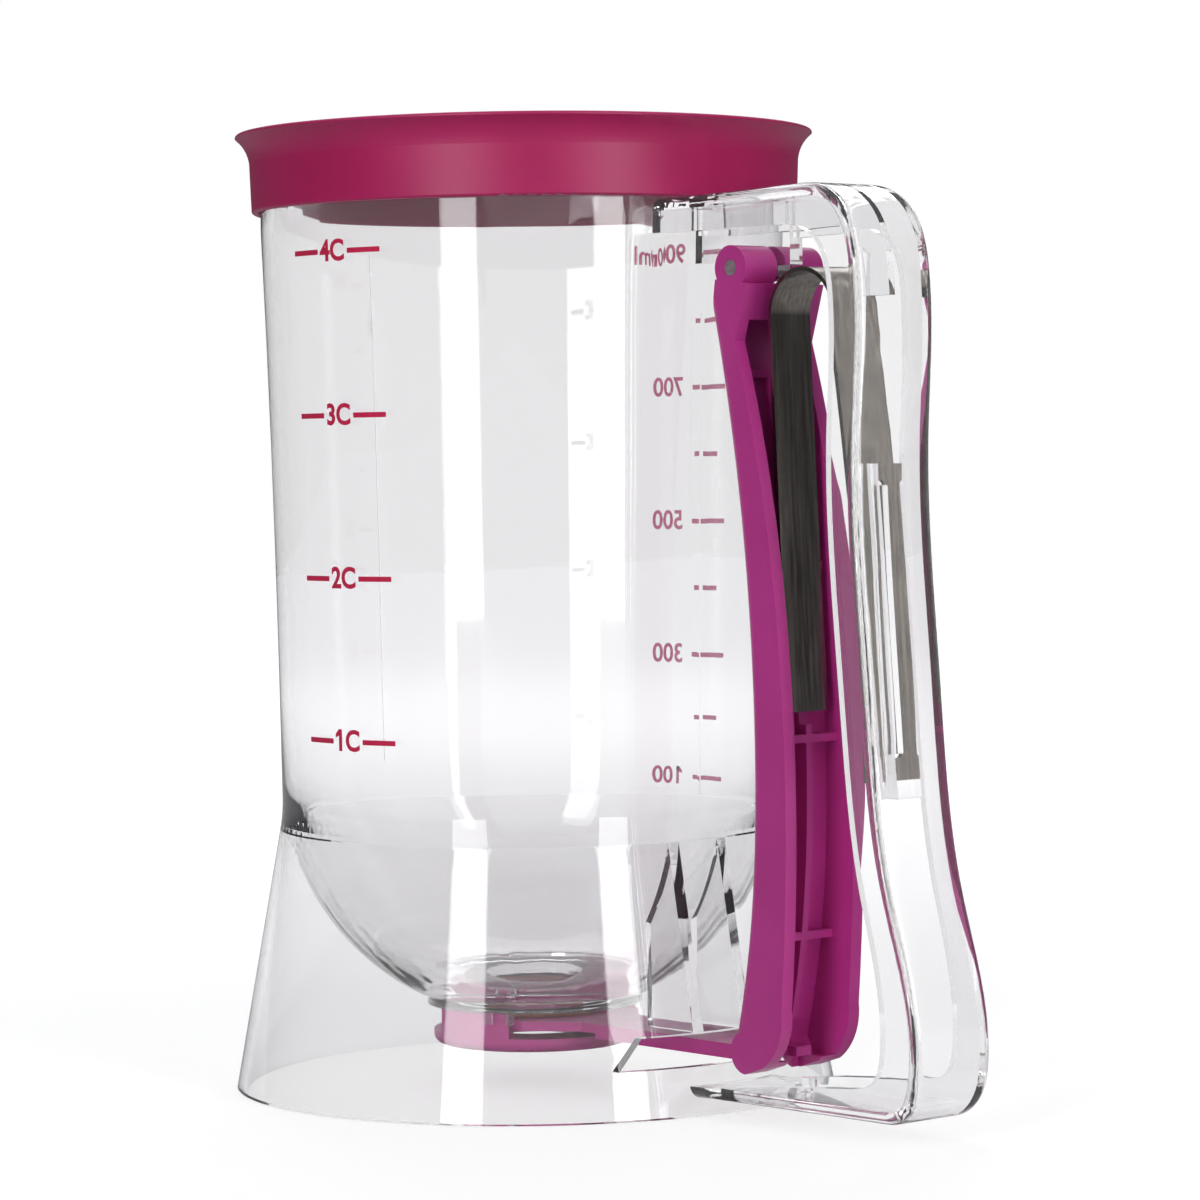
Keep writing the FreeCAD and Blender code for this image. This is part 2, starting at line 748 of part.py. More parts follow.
def make_valve_cap():
    floor = Part.makeCylinder(cap_radius, cap_floor_top - cap_bottom, Vector(0, 0, cap_bottom))
    low_rim = [edge for edge in floor.Edges if abs(edge.BoundBox.ZMax - cap_bottom) < 1e-3]
    floor = floor.makeFillet(cap_edge_round, low_rim)
    walls = []
    span = cap_wall_end_deg - cap_wall_start_deg
    for side in (-1, 1):
        start = cap_wall_start_deg if side > 0 else -cap_wall_end_deg
        sector = Part.makeCylinder(cap_radius, collar_bottom - cap_floor_top, Vector(0, 0, cap_floor_top),
                                   Vector(0, 0, 1), span)
        sector.rotate(Vector(0, 0, 0), Vector(0, 0, 1), start)
        far = side * cap_radius
        outer = block(-cap_radius, cap_radius, min(side * cap_wall_inner_y, far),
                      max(side * cap_wall_inner_y, far), cap_floor_top, collar_bottom)
        ledge = block(-cap_radius, cap_radius, min(side * cap_ledge_inner_y, far),
                      max(side * cap_ledge_inner_y, far), cap_floor_top, gate_bottom - slide_clearance)
        walls.append(sector.common(outer.fuse(ledge)))
    cap = floor.fuse(walls)
    hole = Part.makeCylinder(cap_hole_radius, collar_bottom - cap_bottom, Vector(0, 0, cap_bottom - cut_margin))
    return cap.cut(hole).removeSplitter()


def make_seal():
    low = gate_top + slide_clearance / 2
    ring = Part.makeCylinder(seal_radius, collar_bottom - low, Vector(0, 0, low))
    return ring.cut(Part.makeCylinder(seal_lip_radius, collar_top - low, Vector(0, 0, low - cut_margin)))


def make_slide_gate():
    side = [
        (gate_rear_x, gate_half_width - gate_corner),
        (gate_rear_x + gate_corner, gate_half_width),
        (gate_shoulder_x - gate_taper_before, gate_half_width),
        (gate_shoulder_x + gate_taper_after, arm_half_width),
        (arm_end_x, arm_half_width),
    ]
    corners = side + [(x, -y) for x, y in reversed(side)]
    loop = [Vector(x, y, gate_bottom) for x, y in corners]
    plate = Part.Face(Part.makePolygon(loop + loop[:1])).extrude(Vector(0, 0, gate_top - gate_bottom))
    pieces = []
    for sign in (-1, 1):
        centre = sign * (arm_half_width - arm_rib_thickness / 2)
        pieces.append(block(gate_shoulder_x + arm_rib_start, arm_end_x, centre - arm_rib_thickness / 2,
                            centre + arm_rib_thickness / 2, gate_bottom - arm_rib_drop, gate_bottom))
    pieces.append(block(arm_end_x - sink, tongue_end_x, -tongue_half_width, tongue_half_width,
                        gate_bottom, gate_top))
    catch_x = heel_inner_x() + barb_gap
    barb = Part.makePolygon([
        Vector(catch_x, -barb_half_width, gate_bottom),
        Vector(catch_x, barb_half_width, gate_bottom),
        Vector(catch_x + barb_length, tongue_half_width, gate_bottom),
        Vector(catch_x + barb_length, -tongue_half_width, gate_bottom),
        Vector(catch_x, -barb_half_width, gate_bottom),
    ])
    pieces.append(Part.Face(barb).extrude(Vector(0, 0, gate_top - gate_bottom)))
    return plate.fuse(pieces).removeSplitter()


# Lid

def make_lid():
    inner = rim_radius + lid_fit_clearance
    hem = lid_skirt_bottom + lid_skirt_round
    lip = lid_lip_height
    panel_top = rim_height + lid_panel_thickness
    bend_outer = (lid_neck_radius + lid_neck_bend_out, lid_neck_height + lid_neck_bend_rise)
    lip_corner = (lid_lip_radius, lip - lid_lip_round)
    lip_middle = (lid_lip_radius - lid_lip_round * (1 - math.sqrt(0.5)),
                  lip - lid_lip_round * (1 - math.sqrt(0.5)))
    lip_inner = (lid_lip_radius - lid_lip_thickness - lid_neck_bend_out, lip - lid_lip_slope)
    neck_inner = lid_neck_radius - lid_lip_thickness
    bend_inner = (neck_inner + lid_inner_bend_out, lid_neck_height + lid_neck_bend_rise + lid_lip_slope)
    return turned((0, rim_height), [
        ((inner, rim_height),),
        ((inner, hem),),
        (((inner + lid_skirt_radius) / 2, lid_skirt_bottom), (lid_skirt_radius, hem)),
        ((lid_neck_radius, lid_neck_height),),
        (bend_outer, lip_corner),
        (lip_middle, (lid_lip_radius - lid_lip_round, lip)),
        (lip_inner,),
        (bend_inner, (neck_inner - lid_inner_foot_in, panel_top)),
        ((0, panel_top),),
    ])


nodes = {}
nodes["measuring_wall"] = make_measuring_wall()
nodes["funnel"] = make_funnel()
nodes["skirt"] = make_skirt()
nodes["handle"] = make_handle()
nodes["hinge_pin"] = make_hinge_pin()
nodes["trigger"] = make_trigger()
nodes["return_spring"] = make_spring()
nodes["slide_gate"] = make_slide_gate()
nodes["valve_cap"] = make_valve_cap()
nodes["valve_seal"] = make_seal()
nodes["lid"] = make_lid()

os.makedirs("parts", exist_ok=True)
for name, shape in nodes.items():
    shape.exportStep("parts/" + name + ".step")
    box = shape.BoundBox
    print(name, "solids", len(shape.Solids), "valid", shape.isValid(), "volume", round(shape.Volume, 1),
          "x", round(box.XMin, 2), round(box.XMax, 2), "y", round(box.YMin, 2), round(box.YMax, 2),
          "z", round(box.ZMin, 2), round(box.ZMax, 2))
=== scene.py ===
import math

import bmesh
import bpy
from mathutils import Matrix, Vector
from mathutils.bvhtree import BVHTree


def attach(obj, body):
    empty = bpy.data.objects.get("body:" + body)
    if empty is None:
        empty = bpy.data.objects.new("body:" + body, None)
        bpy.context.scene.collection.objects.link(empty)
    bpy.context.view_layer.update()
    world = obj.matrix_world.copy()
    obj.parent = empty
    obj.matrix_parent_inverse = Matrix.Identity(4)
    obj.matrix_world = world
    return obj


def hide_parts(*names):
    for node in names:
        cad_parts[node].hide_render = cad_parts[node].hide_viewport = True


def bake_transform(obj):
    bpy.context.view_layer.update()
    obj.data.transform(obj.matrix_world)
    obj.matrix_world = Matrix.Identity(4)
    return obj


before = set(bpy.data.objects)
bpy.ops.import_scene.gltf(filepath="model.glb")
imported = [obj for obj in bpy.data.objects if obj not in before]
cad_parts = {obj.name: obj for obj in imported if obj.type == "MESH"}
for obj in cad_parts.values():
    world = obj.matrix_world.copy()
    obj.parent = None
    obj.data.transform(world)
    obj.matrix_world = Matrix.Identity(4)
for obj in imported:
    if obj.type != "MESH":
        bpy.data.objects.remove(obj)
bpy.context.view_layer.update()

MM = 0.001

# Camera: distance from the cup's axis and height in metres, its turn about the axis from -Y, and the
# photograph's small tilts in radians
CAMERA_DISTANCE = 0.8385
CAMERA_HEIGHT = 0.12444
CAMERA_TURN = math.radians(50.0)
CAMERA_PITCH = 0.03366
CAMERA_YAW = -0.0168
CAMERA_ROLL = -0.01261
SENSOR_WIDTH = 36.0
CAMERA_LENS = 125.6

# Clear moulding: how far touching pieces sink into each other, and how near counts as touching
ROOT_SINK = 0.5 * MM
TOUCH_REACH = 0.05 * MM
WELD_REACH = 0.0005 * MM
GUIDE_END_RADIUS = 47.5 * MM
GUIDE_HALF_SPAN = 7.5 * MM
PROBE_START = 200.0 * MM
CLEAR_CREASE = 28.0
SPRING_CREASE = 40.0

# Mould seams down the cup: direction in degrees, lowest and highest point
PARTING_LINES = ((0.0, 0.060, 0.152), (180.0, 0.060, 0.168))
PARTING_STEPS = 24
PARTING_HALF_WIDTH = 0.16 * MM
PARTING_RISE = 0.09 * MM
PARTING_SUNK = 0.30 * MM

# Colours, linear, each as a darker and a lighter tone
BERRY = (0.520, 0.036, 0.272, 1.0)
BERRY_DEEP = (0.470, 0.030, 0.240, 1.0)
LID_RED = (0.430, 0.008, 0.104, 1.0)
LID_RED_DEEP = (0.390, 0.006, 0.090, 1.0)
# Spring steel: the lighter tone is partly brushed grain and partly painted highlight
SPRING_DARK = (0.160, 0.144, 0.126, 1.0)
SPRING_GRAIN_AND_HIGHLIGHT = (0.360, 0.328, 0.286, 1.0)
PIN_DARK = (0.30, 0.24, 0.27, 1.0)
PIN_LIGHT = (0.46, 0.40, 0.42, 1.0)
SEAL_DARK = (0.40, 0.13, 0.09, 1.0)
SEAL_LIGHT = (0.50, 0.19, 0.13, 1.0)
PRINT_RED = (0.620, 0.012, 0.075, 1.0)
PRINT_RED_DEEP = (0.54, 0.009, 0.060, 1.0)
PRINT_PINK = (0.900, 0.070, 0.170, 1.0)
PRINT_PINK_DEEP = (0.80, 0.045, 0.150, 1.0)
CLEAR_TINT = (0.915, 0.911, 0.918, 1.0)

# Surfaces: roughness, and height of the grain, waves and streaks
BERRY_ROUGHNESS = 0.36
BERRY_GRAIN = 0.02 * MM
LID_ROUGHNESS = 0.40
LID_GRAIN = 0.03 * MM
SMOOTHER = 0.04
ROUGHER = 0.05
PLASTIC_SCATTER = 0.04
PLASTIC_SCATTER_REACH = (0.002, 0.0006, 0.001)
CLEAR_TRANSMISSION = 0.985
CLEAR_INDEX = 1.49
CLEAR_HAZE = 0.03
CLEAR_WAVE = 0.6 * MM
SPRING_STREAK = 0.03 * MM
PIN_STREAK = 0.02 * MM
PIN_METAL = 0.8
SEAL_GRAIN = 0.05 * MM
INK_SCATTER_REACH = (0.02, 0.008, 0.010)

# Studio: room tones, floor glow near the object and far from it, and the lamps
ROOM_DARK = (0.09, 0.09, 0.10, 1.0)
ROOM_LIGHT = (0.50, 0.51, 0.54, 1.0)
ROOM_LOWEST = -0.15
ROOM_HIGHEST = 0.9
FLOOR_HALF = 3.0
FLOOR_DROP = 0.2 * MM
FLOOR_GREY = (0.45, 0.45, 0.46, 1.0)
FLOOR_MATT = (0.38, 0.38, 0.38, 1.0)
FLOOR_ROUGHNESS = 0.9
FLOOR_NEAR = 0.16
FLOOR_FAR = 0.70
FLOOR_GLOW_NEAR = 0.72
FLOOR_GLOW_FAR = 0.92
LAMP_TARGET = (0.0, 0.0, 0.09)

# Name, direction from the camera's side in degrees, distance, height, width, tallness, radiance
LAMPS = (
    ("key_left", -28.0, 1.3, 0.35, 0.36, 1.5, 5.6),
    ("key_right", 36.0, 1.3, 0.35, 0.31, 1.5, 6.4),
    ("rear_top", 180.0, 1.0, 1.1, 0.9, 0.9, 2.4),
)
LIGHT_BOUNCES = 24
GLOSSY_BOUNCES = 8


# Materials

def new_material(name):
    """A node material with its tree and main shader."""
    material = bpy.data.materials.new(name)
    material.use_nodes = True
    tree = material.node_tree
    shader = next(node for node in tree.nodes if node.type == "BSDF_PRINCIPLED")
    return material, tree, shader


def object_noise(tree, scale, detail=4.0, stretch=(1.0, 1.0, 1.0)):
    """Noise over the object's own coordinates, in metres, stretched by axis."""
    place = tree.nodes.new("ShaderNodeTexCoord")
    mapping = tree.nodes.new("ShaderNodeMapping")
    mapping.inputs["Scale"].default_value = stretch
    noise = tree.nodes.new("ShaderNodeTexNoise")
    noise.inputs["Scale"].default_value = scale
    noise.inputs["Detail"].default_value = detail
    tree.links.new(place.outputs["Object"], mapping.inputs["Vector"])
    tree.links.new(mapping.outputs["Vector"], noise.inputs["Vector"])
    return noise.outputs["Fac"]


def ramp(tree, factor, low, high, start=0.3, end=0.7):
    """Colour that goes from low to high while the factor goes from start to end."""
    node = tree.nodes.new("ShaderNodeValToRGB")
    node.color_ramp.elements[0].position = start
    node.color_ramp.elements[1].position = end
    node.color_ramp.elements[0].color = low
    node.color_ramp.elements[1].color = high
    tree.links.new(factor, node.inputs["Fac"])
    return node.outputs["Color"]


def spread(tree, factor, low, high):
    """The factor's 0 to 1 moved into the range low to high."""
    node = tree.nodes.new("ShaderNodeMapRange")
    node.inputs["To Min"].default_value = low
    node.inputs["To Max"].default_value = high
    tree.links.new(factor, node.inputs["Value"])
    return node.outputs["Result"]


def bump(tree, shader, height, distance, strength=0.4):
    node = tree.nodes.new("ShaderNodeBump")
    node.inputs["Distance"].default_value = distance
    node.inputs["Strength"].default_value = strength
    tree.links.new(height, node.inputs["Height"])
    tree.links.new(node.outputs["Normal"], shader.inputs["Normal"])


def moulded_plastic(name, low, high, roughness, grain):
    """Satin plastic with slightly cloudy colour and a fine grain."""
    material, tree, shader = new_material(name)
    cloud = object_noise(tree, scale=60.0)
    fine = object_noise(tree, scale=2600.0, detail=2.0)
    tree.links.new(ramp(tree, cloud, low, high), shader.inputs["Base Color"])
    sheen = spread(tree, cloud, low=roughness - SMOOTHER, high=roughness + ROUGHER)
    tree.links.new(sheen, shader.inputs["Roughness"])
    bump(tree, shader, fine, grain)
    shader.inputs["Subsurface Weight"].default_value = PLASTIC_SCATTER
    shader.inputs["Subsurface Radius"].default_value = PLASTIC_SCATTER_REACH
    return material


def clear_plastic():
    """Clear plastic with the slow waves of a moulded surface."""
    material, tree, shader = new_material("clear_plastic")
    wave = object_noise(tree, scale=22.0, detail=2.0, stretch=(1.0, 1.0, 0.35))
    haze = object_noise(tree, scale=900.0, detail=2.0)
    shader.inputs["Base Color"].default_value = CLEAR_TINT
    shader.inputs["Transmission Weight"].default_value = CLEAR_TRANSMISSION
    shader.inputs["IOR"].default_value = CLEAR_INDEX
    tree.links.new(spread(tree, haze, low=0.0, high=CLEAR_HAZE), shader.inputs["Roughness"])
    bump(tree, shader, wave, CLEAR_WAVE, strength=0.25)
    return material


def spring_steel():
    """Dark strip with fine brushed streaks along its length; its lighter streaks and broad soft bands
    are partly painted highlight.
    """
    material, tree, shader = new_material("spring_steel")
    brushed = object_noise(tree, scale=1400.0, detail=4.0, stretch=(1.0, 1.0, 0.02))
    highlight_bands = object_noise(tree, scale=60.0, detail=3.0, stretch=(1.0, 1.0, 0.3))
    both = tree.nodes.new("ShaderNodeMath")
    both.operation = "MULTIPLY"
    tree.links.new(brushed, both.inputs[0])
    tree.links.new(highlight_bands, both.inputs[1])
    # Colour ramp of brushed grain times broad vertical bands: the lighter streaks and bands are painted
    # highlights standing in for reflections
    tone = ramp(tree, both.outputs[0], SPRING_DARK, SPRING_GRAIN_AND_HIGHLIGHT, start=0.14, end=0.42)
    tree.links.new(tone, shader.inputs["Base Color"])
    shader.inputs["Metallic"].default_value = 1.0
    tree.links.new(spread(tree, brushed, low=0.16, high=0.27), shader.inputs["Roughness"])
    bump(tree, shader, brushed, SPRING_STREAK, strength=0.35)
    return material


def pin_steel():
    """Cut rod with fine turned rings."""
    material, tree, shader = new_material("pin_steel")
    turned = object_noise(tree, scale=1600.0, detail=3.0, stretch=(1.0, 0.2, 1.0))
    tree.links.new(ramp(tree, turned, PIN_DARK, PIN_LIGHT), shader.inputs["Base Color"])
    shader.inputs["Metallic"].default_value = PIN_METAL
    tree.links.new(spread(tree, turned, low=0.35, high=0.5), shader.inputs["Roughness"])
    bump(tree, shader, turned, PIN_STREAK)
    return material


def seal_rubber():
    """Soft, slightly blotchy silicone."""
    material, tree, shader = new_material("seal_rubber")
    cloud = object_noise(tree, scale=300.0)
    tree.links.new(ramp(tree, cloud, SEAL_DARK, SEAL_LIGHT), shader.inputs["Base Color"])
    tree.links.new(spread(tree, cloud, low=0.5, high=0.65), shader.inputs["Roughness"])
    bump(tree, shader, cloud, SEAL_GRAIN)
    return material


def print_ink(name, colour, deep, glow_through=0.0):
    """Ink that can let light through from behind, as the far scale shows it."""
    material, tree, shader = new_material(name)
    cloud = object_noise(tree, scale=1500.0)
    tree.links.new(ramp(tree, cloud, deep, colour), shader.inputs["Base Color"])
    tree.links.new(spread(tree, cloud, low=0.35, high=0.5), shader.inputs["Roughness"])
    shader.inputs["Subsurface Weight"].default_value = glow_through
    shader.inputs["Subsurface Radius"].default_value = INK_SCATTER_REACH
    return material


def clothe(node, material):
    """Gives a CAD node its material."""
    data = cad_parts[node].data
    data.materials.clear()
    data.materials.append(material)


# The clear moulding: cup wall, funnel, skirt and handle as one closed mesh

def welded(node):
    """A node's mesh with its split corners joined again."""
    form = bmesh.new()
    form.from_mesh(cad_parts[node].data)
    bmesh.ops.remove_doubles(form, verts=form.verts, dist=WELD_REACH)
    return form


def surface_tree(form):
    """The mesh as a surface that can be asked for its nearest point."""
    return BVHTree.FromBMesh(form)


def wall_radius(tree, height, azimuth):
    """Outer radius of the cup at a height and direction, found from outside."""
    outward = Vector((math.cos(azimuth), math.sin(azimuth), 0.0))
    start = outward * PROBE_START + Vector((0.0, 0.0, height))
    hit = tree.ray_cast(start, -outward)[0]
    return math.hypot(hit.x, hit.y)


def sink_root(form, tree, chosen=lambda place: True):
    """Chosen points on another piece's surface go a little way into it, so that both fuse."""
    for vertex in form.verts:
        if not chosen(vertex.co):
            continue
        place, normal, _, distance = tree.find_nearest(vertex.co)
        if distance < TOUCH_REACH:
            vertex.co = place - normal * ROOT_SINK


def beside_bowl(place):
    """Whether a point of the skirt is on a guide wall's edge along the bowl."""
    inside = math.hypot(place.x, place.y) < GUIDE_END_RADIUS
    return inside and place.x > 0.0 and abs(place.y) < GUIDE_HALF_SPAN


def object_from(form, name):
    """A scene object that takes over the mesh under construction."""
    mesh = bpy.data.meshes.new(name)
    form.to_mesh(mesh)
    form.free()
    piece = bpy.data.objects.new(name, mesh)
    bpy.context.scene.collection.objects.link(piece)
    return piece


def union(base, other):
    """Base becomes the union of both, and other goes."""
    cut = base.modifiers.new("union", "BOOLEAN")
    cut.operation = "UNION"
    cut.solver = "MANIFOLD"
    cut.object = other
    graph = bpy.context.evaluated_depsgraph_get()
    joined = bpy.data.meshes.new_from_object(base.evaluated_get(graph))
    base.modifiers.clear()
    base.data = joined
    bpy.data.objects.remove(other)


def smooth_by_angle(mesh, degrees):
    """Smooth shading, with edges sharper than this angle kept crisp."""
    form = bmesh.new()
    form.from_mesh(mesh)
    for face in form.faces:
        face.smooth = True
    for edge in form.edges:
        edge.smooth = len(edge.link_faces) == 2 and edge.calc_face_angle(0.0) < math.radians(degrees)
    form.to_mesh(mesh)
    form.free()


def skin(form, rows):
    """Closes a form whose cross sections follow one another, with a cap at both ends."""
    count = len(rows[0])
    for first, second in zip(rows, rows[1:]):
        for corner in range(count):
            after = (corner + 1) % count
            form.faces.new((first[corner], first[after], second[after], second[corner]))
    form.faces.new(rows[0][::-1])
    form.faces.new(rows[-1])
    bmesh.ops.recalc_face_normals(form, faces=form.faces)


def parting_line(tree, azimuth, low, high):
    """Fine raised seam that the mould leaves down the cup, half sunk in the wall."""
    profile = ((-1, -PARTING_SUNK), (-1, 0.0), (0, PARTING_RISE), (1, 0.0), (1, -PARTING_SUNK))
    form = bmesh.new()
    rows = []
    for index in range(PARTING_STEPS + 1):
        level = low + (high - low) * index / PARTING_STEPS
        radius = wall_radius(tree, level, azimuth)
        row = []
        for side, rise in profile:
            angle = azimuth + side * PARTING_HALF_WIDTH / radius
            reach = radius + rise
            row.append(form.verts.new((reach * math.cos(angle), reach * math.sin(angle), level)))
        rows.append(row)
    skin(form, rows)
    return object_from(form, "parting_line")


def make_clear_body():
    """Cup wall, funnel, skirt and handle as one closed mesh without inner faces."""
    wall = welded("measuring_wall")
    funnel = welded("funnel")
    skirt = welded("skirt")
    handle = welded("handle")
    outer = surface_tree(wall)
    bowl = surface_tree(funnel)
    ring = surface_tree(skirt)
    sink_root(handle, outer)
    sink_root(handle, ring)
    sink_root(skirt, bowl, beside_bowl)
    body = object_from(wall, "clear_body")
    for form, name in ((funnel, "funnel_part"), (skirt, "skirt_part"), (handle, "handle_part")):
        union(body, object_from(form, name))
    for azimuth, low, high in PARTING_LINES:
        union(body, parting_line(outer, math.radians(azimuth), low, high))
    smooth_by_angle(body.data, CLEAR_CREASE)
    return body


clear = make_clear_body()
clear.data.materials.clear()
clear.data.materials.append(clear_plastic())
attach(clear, "root")
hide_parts("measuring_wall", "funnel", "skirt", "handle")

berry = moulded_plastic("berry_plastic", BERRY_DEEP, BERRY, BERRY_ROUGHNESS, BERRY_GRAIN)
lid_red = moulded_plastic("lid_plastic", LID_RED_DEEP, LID_RED, LID_ROUGHNESS, LID_GRAIN)
for berry_node in ("trigger", "slide_gate", "valve_cap"):
    clothe(berry_node, berry)
clothe("lid", lid_red)
clothe("hinge_pin", pin_steel())
clothe("valve_seal", seal_rubber())


def make_leaf_spring():
    """The leaf spring as its own smooth-shaded piece in place of the CAD spring; it is attached to no
    body, though on the dispenser its front leg follows the trigger.
    """
    leaf = object_from(welded("return_spring"), "leaf_spring")
    smooth_by_angle(leaf.data, SPRING_CREASE)
    leaf.data.materials.clear()
    leaf.data.materials.append(spring_steel())
    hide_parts("return_spring")
    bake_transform(leaf)


make_leaf_spring()


# Printed scales on the outer face of the cup

wall_surface = surface_tree(welded("measuring_wall"))

# Cup marks on the near side: dash, figure, dash. Millilitre marks on the far side: tick, then figure.
# Directions run round the axis from +X, heights are of the lowest mark and the step to the next
CUP_COUNT = 4
ML_COUNT = 9
CUP_AZIMUTH = math.radians(-84.8)
CUP_LOWEST = 70.8 * MM
CUP_STEP = 31.3 * MM
ML_LOWEST = 55.6 * MM
ML_STEP = 13.92 * MM
ML_TICK_START = math.radians(83.5)
ML_TICK_END = math.radians(94.9)
ML_SHORT_START = math.radians(86.4)
ML_SHORT_END = math.radians(93.6)
ML_FIGURE_START = math.radians(98.6)
FIGURE_SIZE = 5.6 * MM
ML_FIGURE_SIZE = 5.5 * MM
FIGURE_WEIGHT = 0.18 * MM
ML_FIGURE_WEIGHT = 0.12 * MM
DASH_INNER = 4.1 * MM
DASH_OUTER = 12.0 * MM
DASH_THICKNESS = 1.0 * MM
DASH_STEPS = 12
TYPE_RESOLUTION = 4

# The slanting stroke of a figure one, as shares of the figure's size
FLAG_REACH = 0.17
FLAG_STROKE = 0.13

# Flat marks are drawn with this half thickness, then laid on the wall, a little proud and a little sunk
DRAWN_HALF = 0.5 * MM
INK_PROUD = 0.03 * MM
INK_SUNK = 0.02 * MM


def wrap(piece, azimuth, height):
    """Bends a flat mark, drawn in X (across) and Y (up), onto the cup's outer face."""
    for vertex in piece.data.vertices:
        level = height + vertex.co.y
        radius = wall_radius(wall_surface, level, azimuth)
        angle = azimuth + vertex.co.x / radius
        radius = wall_radius(wall_surface, level, angle)
        radius += INK_PROUD if vertex.co.z > 0.0 else -INK_SUNK
        vertex.co = Vector((radius * math.cos(angle), radius * math.sin(angle), level))


def add_flag(mesh, size):
    """The short slanting stroke at the top left of a figure one that leads the words."""
    left = min(vertex.co.x for vertex in mesh.vertices)
    top = max(vertex.co.y for vertex in mesh.vertices)
    reach = FLAG_REACH * size
    stroke = FLAG_STROKE * size
    outline = ((left + stroke, top), (left, top), (left - reach, top - reach),
               (left - reach, top - reach - stroke), (left + stroke, top - reach))
    form = bmesh.new()
    form.from_mesh(mesh)
    back = [form.verts.new((x, y, -DRAWN_HALF)) for x, y in outline]
    front = [form.verts.new((x, y, DRAWN_HALF)) for x, y in outline]
    form.faces.new(back[::-1])
    form.faces.new(front)
    for corner in range(len(outline)):
        after = (corner + 1) % len(outline)
        form.faces.new((back[corner], back[after], front[after], front[corner]))
    form.to_mesh(mesh)
    form.free()


def mark_text(words, size, weight):
    """Flat figures and letters, centred, in plain type."""
    curve = bpy.data.curves.new("print_" + words, "FONT")
    curve.body = words
    curve.size = size
    curve.align_x = "CENTER"
    curve.align_y = "CENTER"
    curve.offset = weight
    curve.extrude = DRAWN_HALF
    curve.resolution_u = TYPE_RESOLUTION
    maker = bpy.data.objects.new("maker", curve)
    bpy.context.scene.collection.objects.link(maker)
    graph = bpy.context.evaluated_depsgraph_get()
    mesh = bpy.data.meshes.new_from_object(maker.evaluated_get(graph))
    bpy.data.objects.remove(maker)
    if words.startswith("1"):
        add_flag(mesh, size)
    return mesh


def tick_mesh(start, end, thickness):
    """Flat dash along X, in short steps so that it bends with the wall."""
    form = bmesh.new()
    half = thickness / 2
    profile = ((-half, -DRAWN_HALF), (-half, DRAWN_HALF), (half, DRAWN_HALF), (half, -DRAWN_HALF))
    rows = []
    for index in range(DASH_STEPS + 1):
        x = start + (end - start) * index / DASH_STEPS
        rows.append([form.verts.new((x, y, z)) for y, z in profile])
    skin(form, rows)
    mesh = bpy.data.meshes.new("tick")
    form.to_mesh(mesh)
    form.free()
    return mesh


def place_mark(mesh, name, azimuth, height, ink):
    """Lays a drawn mark on the cup and prints it in this ink."""
    piece = bpy.data.objects.new(name, mesh)
    bpy.context.scene.collection.objects.link(piece)
    wrap(piece, azimuth, height)
    mesh.materials.clear()
    mesh.materials.append(ink)
    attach(piece, "root")


red_ink = print_ink("red_ink", PRINT_RED, PRINT_RED_DEEP)
pink_ink = print_ink("pink_ink", PRINT_PINK, PRINT_PINK_DEEP, glow_through=1.0)


def print_cup_marks():
    """1C to 4C, each between two dashes."""
    for count in range(1, CUP_COUNT + 1):
        level = CUP_LOWEST + CUP_STEP * (count - 1)
        label = "%dC" % count
        figures = mark_text(label, FIGURE_SIZE, FIGURE_WEIGHT)
        place_mark(figures, "figure_" + label, CUP_AZIMUTH, level, red_ink)
        for side, name in ((-1, "left"), (1, "right")):
            dash = tick_mesh(side * DASH_INNER, side * DASH_OUTER, DASH_THICKNESS)
            place_mark(dash, "dash_%s_%s" % (name, label), CUP_AZIMUTH, level, red_ink)


def print_millilitre_marks():
    """100 to 900 ml: a tick for each, longer and with its figures at the odd hundreds."""
    for count in range(1, ML_COUNT + 1):
        level = ML_LOWEST + ML_STEP * (count - 1)
        long_tick = count % 2 == 1
        start = ML_TICK_START if long_tick else ML_SHORT_START
        end = ML_TICK_END if long_tick else ML_SHORT_END
        middle = (start + end) / 2
        half = (end - start) / 2 * wall_radius(wall_surface, level, middle)
        label = "%d00" % count
        tick = tick_mesh(-half, half, DASH_THICKNESS)
        place_mark(tick, "tick_" + label, middle, level, pink_ink)
        if long_tick:
            words = label + ("ml" if count == ML_COUNT else "")
            mesh = mark_text(words, ML_FIGURE_SIZE, ML_FIGURE_WEIGHT)
            half = max(vertex.co.x for vertex in mesh.vertices)
            middle = ML_FIGURE_START + half / wall_radius(wall_surface, level, ML_FIGURE_START)
            place_mark(mesh, "figure_" + words, middle, level, pink_ink)


print_cup_marks()
print_millilitre_marks()


# Camera and studio

def make_camera():
    """Camera where the photograph was taken, turned about the cup's axis."""
    right = Vector((math.cos(CAMERA_YAW), math.sin(CAMERA_YAW), 0.0))
    ahead = Vector((-math.sin(CAMERA_YAW), math.cos(CAMERA_YAW), 0.0))
    up = Vector((0.0, 0.0, 1.0))
    ahead, up = (ahead * math.cos(CAMERA_PITCH) - up * math.sin(CAMERA_PITCH),
                 up * math.cos(CAMERA_PITCH) + ahead * math.sin(CAMERA_PITCH))
    right, up = (right * math.cos(CAMERA_ROLL) + up * math.sin(CAMERA_ROLL),
                 up * math.cos(CAMERA_ROLL) - right * math.sin(CAMERA_ROLL))
    turn = Matrix.Rotation(CAMERA_TURN, 4, "Z")
    pose = Matrix.Identity(4)
    for row in range(3):
        pose[row][0] = right[row]
        pose[row][1] = up[row]
        pose[row][2] = -ahead[row]
    place = Matrix.Translation((0.0, -CAMERA_DISTANCE, CAMERA_HEIGHT))
    lens = bpy.data.cameras.new("camera")
    lens.lens = CAMERA_LENS
    lens.sensor_width = SENSOR_WIDTH
    camera = bpy.data.objects.new("camera", lens)
    bpy.context.scene.collection.objects.link(camera)
    camera.matrix_world = turn @ place @ pose
    bpy.context.scene.camera = camera


